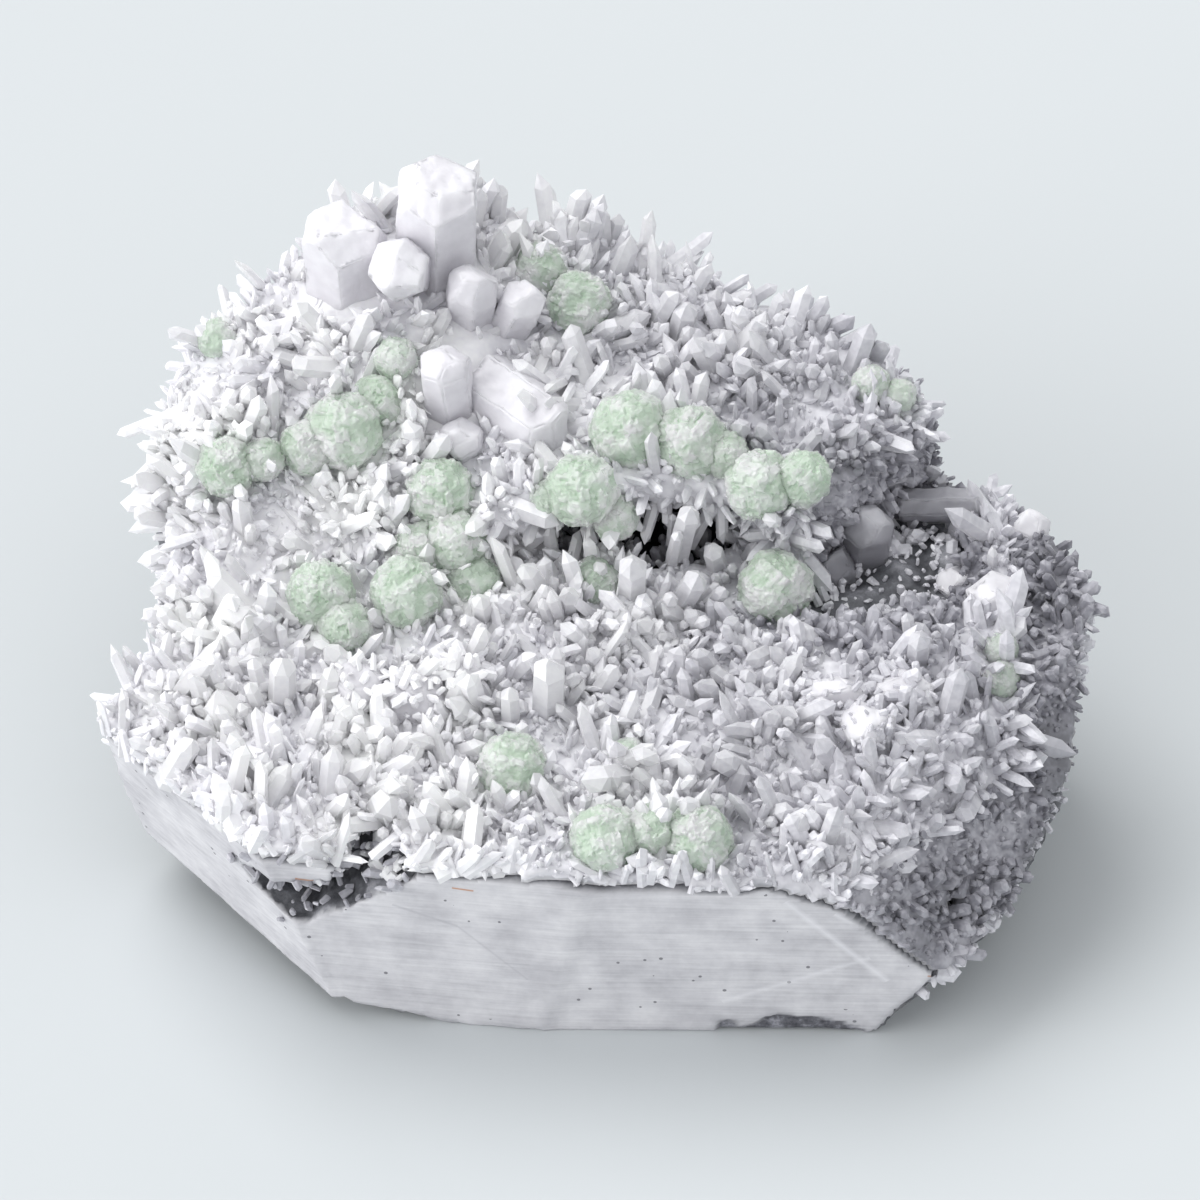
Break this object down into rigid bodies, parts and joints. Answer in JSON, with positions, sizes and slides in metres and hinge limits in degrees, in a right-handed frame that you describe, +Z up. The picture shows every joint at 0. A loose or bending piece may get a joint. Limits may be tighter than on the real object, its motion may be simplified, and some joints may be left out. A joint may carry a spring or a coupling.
{
  "type": "mineral specimen",
  "caption": "Sugar fluorite cluster: pale green fluorite and blocky white calcite on a druse of quartz points over grey rock with sawn front, side and base.",
  "frame": {"origin": "middle of the bounding box in X and Y, at the sawn base", "axes": "+Z up, +X to the right seen from the sawn front, +Y from the sawn front to the broken back"},
  "size_m": [0.1618, 0.131, 0.0907],
  "materials": {
    "rock": "matt, sawn in front, at the left and underneath, broken elsewhere",
    "quartz": "milky to clear crystal faces",
    "fluorite": "frosted, sugary crystal faces, clear inside",
    "calcite": "milky, satin crystal faces"
  },
  "bodies": {
    "root": {"calcite_back_corner": "calcite", "calcite_back_prism": "calcite", "calcite_group_middle": "calcite", "calcite_group_upper": "calcite", "calcite_right_shelf": "calcite", "calcite_terrace_left": "calcite", "calcite_terrace_right": "calcite", "calcite_under_ledge": "calcite", "fluorite_behind_points": "fluorite", "fluorite_by_calcite": "fluorite", "fluorite_front_rim": "fluorite", "fluorite_ledge_right": "fluorite", "fluorite_left_edge": "fluorite", "fluorite_right_shelf": "fluorite", "fluorite_rim_left": "fluorite", "fluorite_rim_middle": "fluorite", "fluorite_rim_right": "fluorite", "fluorite_slope_bright": "fluorite", "fluorite_slope_edge": "fluorite", "fluorite_slope_lower": "fluorite", "fluorite_slope_main": "fluorite", "fluorite_terrace_front": "fluorite", "fluorite_terrace_small": "fluorite", "fluorite_top": "fluorite", "fluorite_under_rim": "fluorite", "matrix_rock": "rock", "quartz_druse": "quartz"}
  },
  "joints": []
}
